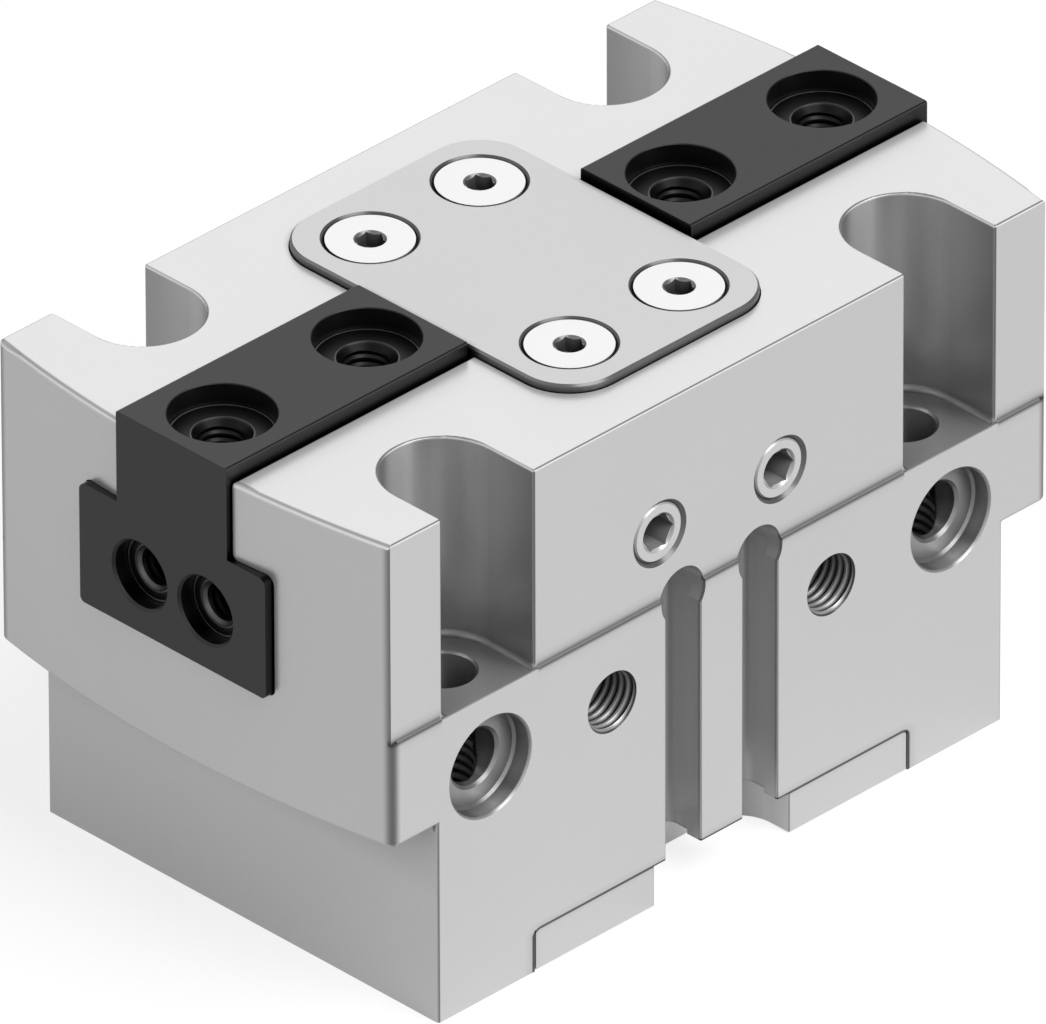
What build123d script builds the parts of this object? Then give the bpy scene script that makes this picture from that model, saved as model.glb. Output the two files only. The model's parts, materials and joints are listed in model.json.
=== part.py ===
"""Pneumatic parallel gripper: an oval piston lifts a wedge that spreads two T-guided jaws.

Frame: millimetres, +Z up, origin at the middle of the mounting face. The jaws slide along X,
the air ports and sensor slots are on the -Y side, and the model stands at jaws closed.
"""
from build123d import *
from math import sqrt
import os

# Housing outside
HEIGHT = 63.4
CORNER_LENGTH = 100.0
END_BULGE = 2.9
UPPER_WIDTH = 59.6
SIDE_STEP = 0.3
SEAM_Z = 38.3
OVERHANG_Z = 25.2
FOOT_LENGTH = 86.4
CORNER_RADIUS = 0.9
FOOT_CORNER_RADIUS = 0.35
FOOT_FLARE_RADIUS = 1.3
OVERHANG_EDGE_RADIUS = 0.6
RIM_RADIUS = 0.3
END_RIM_RADIUS = 0.65

# Through mounting holes at the four corners, with the pockets above them
MOUNT_X = 35.2
MOUNT_Y = 22.9
MOUNT_THREAD_RADIUS = 3.594
MOUNT_CHAMFER_RADIUS = 4.1
MOUNT_TOP_RADIUS = 3.85
POCKET_RADIUS = 6.9
POCKET_FLOOR_RADIUS = 0.8
POCKET_EDGE_RADIUS = 0.35
SLEEVE_RADIUS = 6.0
BOTTOM_SLEEVE_DEPTH = 2.5

# Side mounting holes, the same on both long sides
SIDE_HOLE_Z = 29.2
SIDE_SLEEVE_DEPTH = 2.45
SIDE_MOUTH_RADIUS = 6.25
SEAT_CORNER = 0.3
SIDE_HOLE_RADIUS = 3.4
SIDE_HOLE_CHAMFER = 0.35
SIDE_HOLE_DEPTH = 16.0

# Air ports and the drillings that lead from them to the cylinder
PORT_X = 16.75
PORT_Z = 29.07
PORT_RADIUS = 3.675
PORT_MOUTH_RADIUS = 3.725
PORT_DEPTH = 9.0
AIR_HOLE_RADIUS = 1.0
LOWER_FEED_DROP = 2.0
LOWER_FEED_REACH = 4.5
FEED_OVERLAP = 0.8

# Closed lubrication holes in the upper side
PLUG_X = 9.19
PLUG_Z = 47.0
PLUG_THREAD_RADIUS = 3.594
PLUG_MOUTH_RADIUS = 4.05
PLUG_LENGTH = 8.0
PLUG_RECESS = 0.17
PLUG_EDGE = 0.2
PLUG_HEX = 4.0
PLUG_HOLE_DEPTH = 8.6
LUBE_HOLE_RADIUS = 1.25

# Sensor slots
SENSOR_X = 5.88
SENSOR_OPENING = 5.3
SENSOR_LIP = 2.1
SENSOR_WIDTH = 6.6
SENSOR_DEPTH = 5.8
SENSOR_FLOOR_RADIUS = 1.5
SENSOR_EDGE_RADIUS = 0.2
SENSOR_ENTRY_RADIUS = 3.37
SENSOR_ENTRY_Z = 37.8

# Jaw guide
GUIDE_FLOOR_Z = 38.6
GUIDE_LIP_Z = 53.8
GUIDE_NECK_HALF = 8.7
GUIDE_FLANGE_HALF = 14.5
GUIDE_FLANGE_RADIUS = 1.2
GUIDE_FLOOR_RADIUS = 0.8
GUIDE_LIP_RADIUS = 0.7
GUIDE_RIM_RADIUS = 0.4
WELL_HALF_X = 15.6
WELL_HALF_Y = 11.0
WELL_RADIUS = 3.0

# Cover plate and its screws
COVER_LENGTH = 46.6
COVER_WIDTH = 32.8
COVER_RADIUS = 6.5
COVER_THICKNESS = 3.0
COVER_PROUD = 1.0
COVER_CLEARANCE = 0.15
COVER_EDGE = 0.25
COVER_SCREW_X = 8.34
COVER_SCREW_Y = 15.24
COVER_HOLE_RADIUS = 2.75
M5_HEAD_RADIUS = 4.95
M5_HEAD_DROP = 0.15
M5_HEAD_LAND = 0.335
M5_THREAD_RADIUS = 2.24
M5_SCREW_LENGTH = 8.0
M5_HEX = 3.0
M5_HEX_DEPTH = 2.0

# Cylinder and its bottom cap
BORE_HALF_X = 24.5
BORE_HALF_Y = 19.5
CYLINDER_TOP_Z = 31.2
CAP_HALF_X = 28.4
CAP_CLEARANCE = 0.2
CAP_BOTTOM_Z = 0.2
CAP_TOP_Z = 5.2
CAP_SPIGOT = 3.5
CAP_SPIGOT_CLEARANCE = 0.1
CAP_NOTCH_HALF_X = 10.3
CAP_NOTCH_DEPTH = 7.8
CAP_NOTCH_RADIUS = 5.0
CAP_NOTCH_EDGE_RADIUS = 0.2
CAP_SEAL_Z = 6.2
CAP_SEAL_HEIGHT = 1.6
CAP_SEAL_DEPTH = 1.4
CAP_SCREW_X = 22.5
CAP_SCREW_Y = 24.0
CAP_HOLE_RADIUS = 2.2
M4_HEAD_RADIUS = 3.75
M4_HEAD_DROP = 0.2
M4_HEAD_LAND = 0.3
M4_THREAD_RADIUS = 1.77
M4_SCREW_LENGTH = 10.0
M4_HEX = 2.5
M4_HEX_DEPTH = 1.5

# Piston and rod
JAW_STROKE = 8.0
PISTON_STROKE = 12.0
PISTON_BOTTOM_Z = 9.3
PISTON_THICKNESS = 9.2
PISTON_CLEARANCE = 0.28
ROD_RADIUS = 7.0
ROD_CLEARANCE = 0.1
SEAL_CLEARANCE = 0.1
PISTON_SEAL_Z = 12.8
PISTON_SEAL_HEIGHT = 2.6
PISTON_SEAL_DEPTH = 3.0
BAND_Z = 16.2
BAND_HEIGHT = 1.6
BAND_DEPTH = 1.2
MAGNET_RADIUS = 2.5
MAGNET_HEIGHT = 3.0
MAGNET_WALL = 0.9
STOP_PAD_THICKNESS = 0.5
STOP_PAD_INSET = 1.2
STOP_PAD_WIDTH = 4.5

# Rod seal pack
SEAL_POCKET_RADIUS = 10.0
ROD_SEAL_Z = 33.6
ROD_SEAL_HEIGHT = 2.5
ROD_BUSH_HEIGHT = 1.2
RETAINER_RADIUS = 10.5
RETAINER_INNER_RADIUS = 8.1
RETAINER_THICKNESS = 0.8
RETAINER_GAP = 9.0
RETAINER_EYE_RADIUS = 0.5
RETAINER_EYE_OFFSET = 1.2
SEAL_LIP_GAP = 1.0

# Wedge that spreads the jaws
WEDGE_BOTTOM_Z = 38.9
WEDGE_HEIGHT = 10.2
WEDGE_BASE_HALF = 16.5
WEDGE_HALF_Y = 10.4
RAIL_STEM_HALF = 3.6
RAIL_STEM_DEPTH = 3.0
RAIL_HEAD_HALF = 6.2
RAIL_HEAD_DEPTH = 3.6
WEDGE_CLEARANCE = 0.06
RAIL_CLEARANCE = 0.1
M6_HEAD_RADIUS = 5.0
M6_HEAD_HEIGHT = 6.0
M6_HEAD_EDGE = 0.3
M6_THREAD_RADIUS = 2.675
M6_SCREW_LENGTH = 20.0
M6_HEX = 5.0
M6_HEX_DEPTH = 3.0
M6_SEAT_DEPTH = 6.2
M6_SEAT_RADIUS = 5.25
M6_HOLE_RADIUS = 3.2
M6_THREAD_SPARE = 1.5
DOWEL_RADIUS = 1.25
DOWEL_LENGTH = 6.0
DOWEL_Y = 4.9

# Jaws
JAW_END_X = 53.34
JAW_PROUD = 1.85
JAW_NECK_HALF = 8.45
JAW_FLANGE_HALF = 14.25
JAW_FLANGE_GAP = 0.05
JAW_FLANGE_RADIUS = 1.0
JAW_FOOT_RADIUS = 0.7
JAW_EDGE = 0.3
JAW_STEP_X = 17.0
JAW_COVER_GAP = 0.2
JAW_HOLE_X = (23.86, 45.62)
JAW_SLEEVE_MOUTH = 0.1
JAW_SLEEVE_DEPTH = 2.6
JAW_THREAD_CHAMFER_RADIUS = 3.37
JAW_THREAD_DEPTH = 9.4
END_HOLE_Y = 5.03
END_HOLE_Z = 45.85
END_SLEEVE_RADIUS = 4.0
END_SLEEVE_MOUTH = 0.3
END_SLEEVE_DEPTH = 2.1
END_THREAD_CHAMFER_RADIUS = 2.7
END_THREAD_DEPTH = 10.0

# Small clearances and allowances
THREAD_CLEARANCE = 0.04
SOCKET_CHAMFER = 0.2
POINT_CHAMFER = 0.5
DRILL_POINT = 0.577
CUT_PAST = 2.0
MATCH = 0.01

# Worked out from the above
JAW_TOP_Z = HEIGHT + JAW_PROUD
END_APEX = CORNER_LENGTH / 2 + END_BULGE
END_ARC_RADIUS = ((UPPER_WIDTH / 2) ** 2 + END_BULGE ** 2) / (2 * END_BULGE)
END_ARC_CENTRE = END_APEX - END_ARC_RADIUS
LOWER_WIDTH = UPPER_WIDTH + 2 * SIDE_STEP
COVER_FLOOR_Z = HEIGHT + COVER_PROUD - COVER_THICKNESS
COVER_TOP_Z = HEIGHT + COVER_PROUD
PISTON_TOP_Z = PISTON_BOTTOM_Z + PISTON_THICKNESS
WEDGE_TOP_Z = WEDGE_BOTTOM_Z + WEDGE_HEIGHT
JAW_PER_LIFT = JAW_STROKE / PISTON_STROKE
RAIL_DEPTH = RAIL_STEM_DEPTH + RAIL_HEAD_DEPTH
SPIGOT_TOP_Z = CAP_TOP_Z + CAP_SPIGOT
CORNER_SIGNS = [(sx, sy) for sx in (-1, 1) for sy in (-1, 1)]


def turned(profile, origin, direction):
    """Solid turned from (radius, distance) points about the line from origin along direction."""
    face = make_face(Polyline(*[(radius, 0, along) for radius, along in profile], close=True))
    return Plane(origin=origin, z_dir=direction) * revolve(face, axis=Axis.Z)


def round_corners(sketch, radius, points):
    """Round the corners of a flat shape that lie at the given points."""
    targets = [Vector(*point) for point in points]
    near = [v for v in sketch.vertices() if any((v.center() - t).length < MATCH for t in targets)]
    return fillet(near, radius)


def stadium(offset):
    """The cylinder's oval, grown by offset on every side."""
    return SlotOverall(2 * (BORE_HALF_X + offset), 2 * (BORE_HALF_Y + offset))


def stadium_ring(outer, inner, bottom, height):
    return Pos(0, 0, bottom) * extrude(stadium(outer) - stadium(inner), height)


def tee(neck_half, flange_half, bottom, lip, top):
    """T section across the jaw guide, drawn with Y to the right and Z up."""
    flange = Pos(0, (bottom + lip) / 2) * Rectangle(2 * flange_half, lip - bottom)
    neck = Pos(0, (lip + top) / 2) * Rectangle(2 * neck_half, top - lip)
    return flange + neck


def both_sides(y, z):
    return [(-y, z), (y, z)]


def hex_socket(across_flats, depth, origin, direction):
    """Cutter for a hexagon socket with its corner chamfer, corners on the X axis."""
    corner = across_flats / sqrt(3)
    plane = Plane(origin=origin, x_dir=(1, 0, 0), z_dir=direction)
    well = extrude(plane * RegularPolygon(corner, 6), depth)
    mouth = corner + SOCKET_CHAMFER / 2
    cone = [(0, 0), (mouth, 0), (corner - SOCKET_CHAMFER, SOCKET_CHAMFER * 1.5), (0, SOCKET_CHAMFER * 1.5)]
    point = [(0, depth), (across_flats / 2, depth), (0, depth + across_flats / 2 * DRILL_POINT)]
    return well + turned(cone, origin, direction) + turned(point, origin, direction)


def countersunk_screw(head_radius, land, thread_radius, length, hexagon, hex_depth, origin, direction):
    """Flat-head screw whose head face lies at origin, driven along direction."""
    shank = thread_radius - THREAD_CLEARANCE
    cone_end = land + head_radius - shank
    profile = [
        (0, 0), (head_radius, 0), (head_radius, land), (shank, cone_end),
        (shank, length - POINT_CHAMFER), (shank - POINT_CHAMFER, length), (0, length),
    ]
    return turned(profile, origin, direction) - hex_socket(hexagon, hex_depth, origin, direction)


def countersink(mouth_radius, hole_radius, through, origin, direction):
    """Cutter for a countersunk through hole whose mouth lies at origin."""
    profile = [
        (0, -CUT_PAST), (mouth_radius, -CUT_PAST), (mouth_radius, 0),
        (hole_radius, mouth_radius - hole_radius), (hole_radius, through), (0, through),
    ]
    return turned(profile, origin, direction)


def blind_hole(radius, depth, mouth_radius, origin, direction):
    """Cutter for a drilled hole with a chamfered mouth and a drill point."""
    profile = [
        (0, -CUT_PAST), (mouth_radius, -CUT_PAST), (mouth_radius, 0),
        (radius, mouth_radius - radius), (radius, depth), (0, depth + radius * DRILL_POINT),
    ]
    return turned(profile, origin, direction)


def sleeve_hole(sleeve_radius, mouth, sleeve_depth, thread_chamfer, radius, depth, origin, direction,
                seat_corner=0.0):
    """Cutter for a threaded hole under a counterbore that takes a centring sleeve."""
    seat = [(sleeve_radius, sleeve_depth)]
    if seat_corner > 0:
        seat = [(sleeve_radius, sleeve_depth - seat_corner), (sleeve_radius - seat_corner, sleeve_depth)]
    profile = [
        (0, -CUT_PAST), (sleeve_radius + mouth, -CUT_PAST), (sleeve_radius + mouth, 0),
        (sleeve_radius, mouth), *seat, (thread_chamfer, sleeve_depth),
        (radius, sleeve_depth + thread_chamfer - radius), (radius, sleeve_depth + depth),
        (0, sleeve_depth + depth + radius * DRILL_POINT),
    ]
    return turned(profile, origin, direction)


def drilling(radius, start, end):
    path = Vector(*end) - Vector(*start)
    return extrude(Plane(origin=start, z_dir=path) * Circle(radius), path.length)


def plan():
    """Housing outline over the lower sides and the bulged ends, seen from above."""
    half = LOWER_WIDTH / 2
    corner = END_ARC_CENTRE + sqrt(END_ARC_RADIUS ** 2 - half ** 2)
    edges = [
        Line((-corner, -half), (corner, -half)),
        ThreePointArc((corner, -half), (END_APEX, 0), (corner, half)),
        Line((corner, half), (-corner, half)),
        ThreePointArc((-corner, half), (-END_APEX, 0), (-corner, -half)),
    ]
    outline = make_face(edges)
    return fillet(outline.vertices(), CORNER_RADIUS)


def pocket_plan(sx, sy):
    """Open-sided pocket over one mounting hole, seen from above, with its opening edges broken."""
    inner = Pos(sx * MOUNT_X, sy * MOUNT_Y) * Circle(POCKET_RADIUS)
    run = UPPER_WIDTH / 2 - MOUNT_Y
    channel = Pos(sx * MOUNT_X, sy * (MOUNT_Y + run / 2)) * Rectangle(2 * POCKET_RADIUS, run)
    outside = Pos(sx * MOUNT_X, sy * (UPPER_WIDTH + CUT_PAST) / 2) * Rectangle(3 * POCKET_RADIUS, CUT_PAST)
    edges = [(sx * MOUNT_X + side * POCKET_RADIUS, sy * UPPER_WIDTH / 2) for side in (-1, 1)]
    return round_corners(inner + channel + outside, POCKET_EDGE_RADIUS, edges)


def pocket(sx, sy):
    cutter = Pos(0, 0, SEAM_Z) * extrude(pocket_plan(sx, sy), HEIGHT + CUT_PAST - SEAM_Z)
    bottom_edges = cutter.edges().group_by(Axis.Z)[0]
    return fillet(bottom_edges, POCKET_FLOOR_RADIUS)


def seam_cove(sy):
    """Cove that fills the step between the upper and the lower side, broken at the pockets."""
    wall = sy * UPPER_WIDTH / 2
    square = Pos(wall + sy * SIDE_STEP / 2, SEAM_Z + SIDE_STEP / 2) * Rectangle(SIDE_STEP, SIDE_STEP)
    section = square - Pos(wall + sy * SIDE_STEP, SEAM_Z + SIDE_STEP) * Circle(SIDE_STEP)
    cove = extrude(Plane.YZ * section, CORNER_LENGTH / 2 - CORNER_RADIUS, both=True)
    for sx in (-1, 1):
        opening = Box(2 * (POCKET_RADIUS + POCKET_EDGE_RADIUS), LOWER_WIDTH, HEIGHT)
        cove -= Pos(sx * MOUNT_X, 0, SEAM_Z) * opening
    return cove


def end_rim(side):
    """Cutter that rounds the top edge of a bulged end."""
    radius = END_RIM_RADIUS
    corner = Pos(END_ARC_RADIUS, HEIGHT) * Rectangle(2 * radius, 2 * radius)
    rounding = Pos(END_ARC_RADIUS - radius, HEIGHT - radius) * Circle(radius)
    ring = revolve(Plane.XZ * (corner - rounding), axis=Axis.Z)
    ring = Pos(END_ARC_CENTRE, 0, 0) * ring
    return ring if side > 0 else mirror(ring, Plane.YZ)


def upper_block():
    """Upper part of the housing, whose long sides are milled back from those of the lower part."""
    ends = Pos(0, 0, SEAM_Z) * extrude(plan(), HEIGHT - SEAM_Z)
    for side in (-1, 1):
        ends -= end_rim(side)
    middle_z = (SEAM_Z + HEIGHT) / 2
    sides = Pos(0, 0, middle_z) * Box(2 * CORNER_LENGTH, UPPER_WIDTH, HEIGHT - SEAM_Z)
    for sx, sy in CORNER_SIGNS:
        sides -= pocket(sx, sy)
    top_edges = sides.edges().filter_by(lambda e: abs(e.center().Z - HEIGHT) < MATCH)
    return ends & fillet(top_edges, RIM_RADIUS)


def lower_block():
    block = Pos(0, 0, OVERHANG_Z) * extrude(plan(), SEAM_Z - OVERHANG_Z)
    bottom_edges = block.edges().filter_by(lambda e: abs(e.center().Z - OVERHANG_Z) < MATCH)
    block = fillet(bottom_edges, OVERHANG_EDGE_RADIUS)
    return block + foot()


def foot():
    """Narrower foot under the overhanging ends, flared where it joins them."""
    half = FOOT_LENGTH / 2
    height = OVERHANG_Z + OVERHANG_EDGE_RADIUS
    post = extrude(RectangleRounded(FOOT_LENGTH, LOWER_WIDTH, FOOT_CORNER_RADIUS), height)
    radius = FOOT_FLARE_RADIUS
    square = Pos(half + radius / 2, OVERHANG_Z - radius / 2) * Rectangle(radius, radius)
    section = square - Pos(half + radius, OVERHANG_Z - radius) * Circle(radius)
    length = LOWER_WIDTH / 2 - OVERHANG_EDGE_RADIUS
    right = extrude(Plane.XZ * section, length, both=True)
    return post + right + mirror(right, Plane.YZ)


def guide_cut():
    """T-shaped jaw guide, open at the top and at both ends."""
    rim = Pos(0, HEIGHT + CUT_PAST / 2) * Rectangle(2 * (GUIDE_NECK_HALF + 2 * GUIDE_RIM_RADIUS), CUT_PAST)
    section = tee(GUIDE_NECK_HALF, GUIDE_FLANGE_HALF, GUIDE_FLOOR_Z, GUIDE_LIP_Z, HEIGHT) + rim
    section = round_corners(section, GUIDE_FLANGE_RADIUS, both_sides(GUIDE_FLANGE_HALF, GUIDE_LIP_Z))
    section = round_corners(section, GUIDE_FLOOR_RADIUS, both_sides(GUIDE_FLANGE_HALF, GUIDE_FLOOR_Z))
    section = round_corners(section, GUIDE_LIP_RADIUS, both_sides(GUIDE_NECK_HALF, GUIDE_LIP_Z))
    section = round_corners(section, GUIDE_RIM_RADIUS, both_sides(GUIDE_NECK_HALF, HEIGHT))
    return extrude(Plane.YZ * section, END_APEX + CUT_PAST, both=True)


def cover_plan(growth):
    return RectangleRounded(COVER_WIDTH + 2 * growth, COVER_LENGTH + 2 * growth, COVER_RADIUS + growth)


def top_cuts():
    """Recess for the cover plate, the well under it and the cover's screw holes."""
    recess = Pos(0, 0, COVER_FLOOR_Z) * extrude(cover_plan(COVER_CLEARANCE), COVER_THICKNESS)
    well_depth = COVER_FLOOR_Z - GUIDE_LIP_Z
    well = Pos(0, 0, GUIDE_LIP_Z) * extrude(
        RectangleRounded(2 * WELL_HALF_X, 2 * WELL_HALF_Y, WELL_RADIUS), well_depth)
    cuts = [recess, well]
    tip = M5_HEAD_DROP + M5_SCREW_LENGTH - COVER_THICKNESS
    for sx, sy in CORNER_SIGNS:
        origin = (sx * COVER_SCREW_X, sy * COVER_SCREW_Y, COVER_FLOOR_Z)
        depth = tip + POINT_CHAMFER / 2
        cuts.append(blind_hole(M5_THREAD_RADIUS, depth, COVER_HOLE_RADIUS, origin, (0, 0, -1)))
    return cuts


def mount_cuts():
    """Threaded mounting holes, their sleeve seats below and the side holes that cross them."""
    cuts = []
    for sx, sy in CORNER_SIGNS:
        x = sx * MOUNT_X
        chamfer = MOUNT_CHAMFER_RADIUS - MOUNT_THREAD_RADIUS
        top_chamfer = MOUNT_TOP_RADIUS - MOUNT_THREAD_RADIUS
        through = [
            (0, -CUT_PAST), (MOUNT_CHAMFER_RADIUS, -CUT_PAST), (MOUNT_CHAMFER_RADIUS, 0),
            (MOUNT_THREAD_RADIUS, chamfer), (MOUNT_THREAD_RADIUS, SEAM_Z - top_chamfer),
            (MOUNT_TOP_RADIUS, SEAM_Z), (MOUNT_TOP_RADIUS, SEAM_Z + CUT_PAST), (0, SEAM_Z + CUT_PAST),
        ]
        cuts.append(turned(through, (x, sy * MOUNT_Y, 0), (0, 0, 1)))
        if sx == sy:
            seat = [(0, -CUT_PAST), (SLEEVE_RADIUS, -CUT_PAST), (SLEEVE_RADIUS, BOTTOM_SLEEVE_DEPTH),
                    (0, BOTTOM_SLEEVE_DEPTH)]
            cuts.append(turned(seat, (x, sy * MOUNT_Y, 0), (0, 0, 1)))
        cuts.append(sleeve_hole(
            SLEEVE_RADIUS, SIDE_MOUTH_RADIUS - SLEEVE_RADIUS, SIDE_SLEEVE_DEPTH,
            SIDE_HOLE_RADIUS + SIDE_HOLE_CHAMFER, SIDE_HOLE_RADIUS, SIDE_HOLE_DEPTH - SIDE_SLEEVE_DEPTH,
            (x, sy * LOWER_WIDTH / 2, SIDE_HOLE_Z), (0, -sy, 0), SEAT_CORNER))
    return cuts


def air_cuts():
    """Air ports: the left one feeds the cylinder's top, the right one its bottom."""
    face = -LOWER_WIDTH / 2
    port_end = face + PORT_DEPTH
    cuts = [
        blind_hole(PORT_RADIUS, PORT_DEPTH, PORT_MOUTH_RADIUS, (side * PORT_X, face, PORT_Z), (0, 1, 0))
        for side in (-1, 1)
    ]
    top_feed_z = CYLINDER_TOP_Z - AIR_HOLE_RADIUS
    top_start = (-PORT_X, port_end - FEED_OVERLAP, top_feed_z)
    cuts.append(drilling(AIR_HOLE_RADIUS, top_start, (-PORT_X, 0, top_feed_z)))
    low_start = (PORT_X, port_end + FEED_OVERLAP, PORT_Z - LOWER_FEED_DROP)
    low_end = (PORT_X, -BORE_HALF_Y + LOWER_FEED_REACH, PISTON_BOTTOM_Z - AIR_HOLE_RADIUS / 2)
    cuts.append(drilling(AIR_HOLE_RADIUS, low_start, low_end))
    return cuts


def plug_cuts():
    """Holes that lead lubricant to the jaw guide, closed by set screws."""
    face = -UPPER_WIDTH / 2
    cuts = []
    for side in (-1, 1):
        mouth = (side * PLUG_X, face, PLUG_Z)
        cuts.append(blind_hole(PLUG_THREAD_RADIUS, PLUG_HOLE_DEPTH, PLUG_MOUTH_RADIUS, mouth, (0, 1, 0)))
        inner = (side * PLUG_X, -GUIDE_NECK_HALF, PLUG_Z)
        cuts.append(drilling(LUBE_HOLE_RADIUS, (side * PLUG_X, face + PLUG_HOLE_DEPTH, PLUG_Z), inner))
    return cuts


def sensor_cut(side):
    """T slot for a proximity sensor, entered from below or through the round opening at its top."""
    face = -LOWER_WIDTH / 2
    x = side * SENSOR_X
    floor = face + SENSOR_DEPTH
    depth = SENSOR_DEPTH - SENSOR_LIP
    opening = Pos(x, face + SENSOR_LIP / 2) * Rectangle(SENSOR_OPENING, SENSOR_LIP)
    inner = Pos(x, face + SENSOR_LIP + depth / 2) * Rectangle(SENSOR_WIDTH, depth)
    corners = [(x - SENSOR_WIDTH / 2, floor), (x + SENSOR_WIDTH / 2, floor)]
    section = opening + round_corners(inner, SENSOR_FLOOR_RADIUS, corners)
    outside_width = SENSOR_OPENING + 4 * SENSOR_EDGE_RADIUS
    section += Pos(x, face - CUT_PAST / 2) * Rectangle(outside_width, CUT_PAST)
    edges = [(x - SENSOR_OPENING / 2, face), (x + SENSOR_OPENING / 2, face)]
    section = round_corners(section, SENSOR_EDGE_RADIUS, edges)
    groove = Pos(0, 0, CAP_TOP_Z) * extrude(section, SENSOR_ENTRY_Z - CAP_TOP_Z)
    entry = drilling(SENSOR_ENTRY_RADIUS, (x, face - CUT_PAST, SENSOR_ENTRY_Z), (x, floor, SENSOR_ENTRY_Z))
    return groove + entry


def cylinder_cuts():
    """Oval cylinder, rod bore, seal pocket and the seat of the bottom cap with its screw holes."""
    cylinder = Pos(0, 0, CAP_TOP_Z) * extrude(stadium(0), CYLINDER_TOP_Z - CAP_TOP_Z)
    channel = Box(2 * (CAP_HALF_X + CAP_CLEARANCE), LOWER_WIDTH + CUT_PAST, 2 * CAP_TOP_Z)
    rod_hole = ROD_RADIUS + ROD_CLEARANCE
    groove_z = ROD_SEAL_Z + ROD_SEAL_HEIGHT + ROD_BUSH_HEIGHT
    groove_top = groove_z + RETAINER_THICKNESS
    rod_way = [
        (0, CYLINDER_TOP_Z), (rod_hole, CYLINDER_TOP_Z), (rod_hole, ROD_SEAL_Z),
        (SEAL_POCKET_RADIUS, ROD_SEAL_Z), (SEAL_POCKET_RADIUS, groove_z), (RETAINER_RADIUS, groove_z),
        (RETAINER_RADIUS, groove_top), (SEAL_POCKET_RADIUS, groove_top),
        (SEAL_POCKET_RADIUS, GUIDE_FLOOR_Z), (0, GUIDE_FLOOR_Z),
    ]
    cuts = [cylinder, channel, turned(rod_way, (0, 0, 0), (0, 0, 1))]
    tip = CAP_BOTTOM_Z + M4_HEAD_DROP + M4_SCREW_LENGTH - CAP_TOP_Z
    for sx, sy in CORNER_SIGNS:
        origin = (sx * CAP_SCREW_X, sy * CAP_SCREW_Y, CAP_TOP_Z)
        cuts.append(blind_hole(M4_THREAD_RADIUS, tip + POINT_CHAMFER, CAP_HOLE_RADIUS, origin, (0, 0, 1)))
    return cuts


def housing():
    body = upper_block() + lower_block()
    for sy in (-1, 1):
        body += seam_cove(sy)
    cuts = [guide_cut()] + top_cuts() + mount_cuts() + air_cuts() + plug_cuts() + cylinder_cuts()
    cuts += [sensor_cut(-1), sensor_cut(1)]
    for cut in cuts:
        body -= cut
    return body


def cover_plate():
    plate = Pos(0, 0, COVER_FLOOR_Z) * extrude(cover_plan(0), COVER_THICKNESS)
    plate = chamfer(plate.edges().group_by(Axis.Z)[-1], COVER_EDGE)
    for sx, sy in CORNER_SIGNS:
        origin = (sx * COVER_SCREW_X, sy * COVER_SCREW_Y, COVER_TOP_Z)
        mouth = M5_HEAD_RADIUS + M5_HEAD_DROP + M5_HEAD_LAND + THREAD_CLEARANCE
        plate -= countersink(mouth, COVER_HOLE_RADIUS, COVER_THICKNESS + CUT_PAST, origin, (0, 0, -1))
    return plate


def cover_screws():
    return [
        countersunk_screw(
            M5_HEAD_RADIUS, M5_HEAD_LAND, M5_THREAD_RADIUS, M5_SCREW_LENGTH, M5_HEX, M5_HEX_DEPTH,
            (sx * COVER_SCREW_X, sy * COVER_SCREW_Y, COVER_TOP_Z - M5_HEAD_DROP), (0, 0, -1))
        for sx, sy in CORNER_SIGNS
    ]


def bottom_cap():
    """Cap that closes the cylinder from below, cut away under the sensor slots."""
    thickness = CAP_TOP_Z - CAP_BOTTOM_Z
    notch_y = -LOWER_WIDTH / 2 + CAP_NOTCH_DEPTH
    notch = Pos(0, notch_y - LOWER_WIDTH / 2) * Rectangle(2 * CAP_NOTCH_HALF_X, LOWER_WIDTH)
    corners = [(side * CAP_NOTCH_HALF_X, notch_y) for side in (-1, 1)]
    outline = Rectangle(2 * CAP_HALF_X, LOWER_WIDTH) - round_corners(notch, CAP_NOTCH_RADIUS, corners)
    edges = [(side * CAP_NOTCH_HALF_X, -LOWER_WIDTH / 2) for side in (-1, 1)]
    outline = round_corners(outline, CAP_NOTCH_EDGE_RADIUS, edges)
    slab = Pos(0, 0, CAP_BOTTOM_Z) * extrude(outline, thickness)
    spigot = Pos(0, 0, CAP_TOP_Z) * extrude(stadium(-CAP_SPIGOT_CLEARANCE), CAP_SPIGOT)
    groove = stadium_ring(1, -CAP_SPIGOT_CLEARANCE - CAP_SEAL_DEPTH, CAP_SEAL_Z, CAP_SEAL_HEIGHT)
    cap = slab + (spigot - groove)
    for sx, sy in CORNER_SIGNS:
        origin = (sx * CAP_SCREW_X, sy * CAP_SCREW_Y, CAP_BOTTOM_Z)
        mouth = M4_HEAD_RADIUS + M4_HEAD_DROP + M4_HEAD_LAND + THREAD_CLEARANCE
        cap -= countersink(mouth, CAP_HOLE_RADIUS, thickness + CUT_PAST, origin, (0, 0, 1))
    return cap


def cap_screws():
    head_z = CAP_BOTTOM_Z + M4_HEAD_DROP
    return [
        countersunk_screw(
            M4_HEAD_RADIUS, M4_HEAD_LAND, M4_THREAD_RADIUS, M4_SCREW_LENGTH, M4_HEX, M4_HEX_DEPTH,
            (sx * CAP_SCREW_X, sy * CAP_SCREW_Y, head_z), (0, 0, 1))
        for sx, sy in CORNER_SIGNS
    ]


def cap_seal():
    inner = -CAP_SPIGOT_CLEARANCE - CAP_SEAL_DEPTH + THREAD_CLEARANCE
    height = CAP_SEAL_HEIGHT - 2 * THREAD_CLEARANCE
    return stadium_ring(-THREAD_CLEARANCE, inner, CAP_SEAL_Z + THREAD_CLEARANCE, height)


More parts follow.
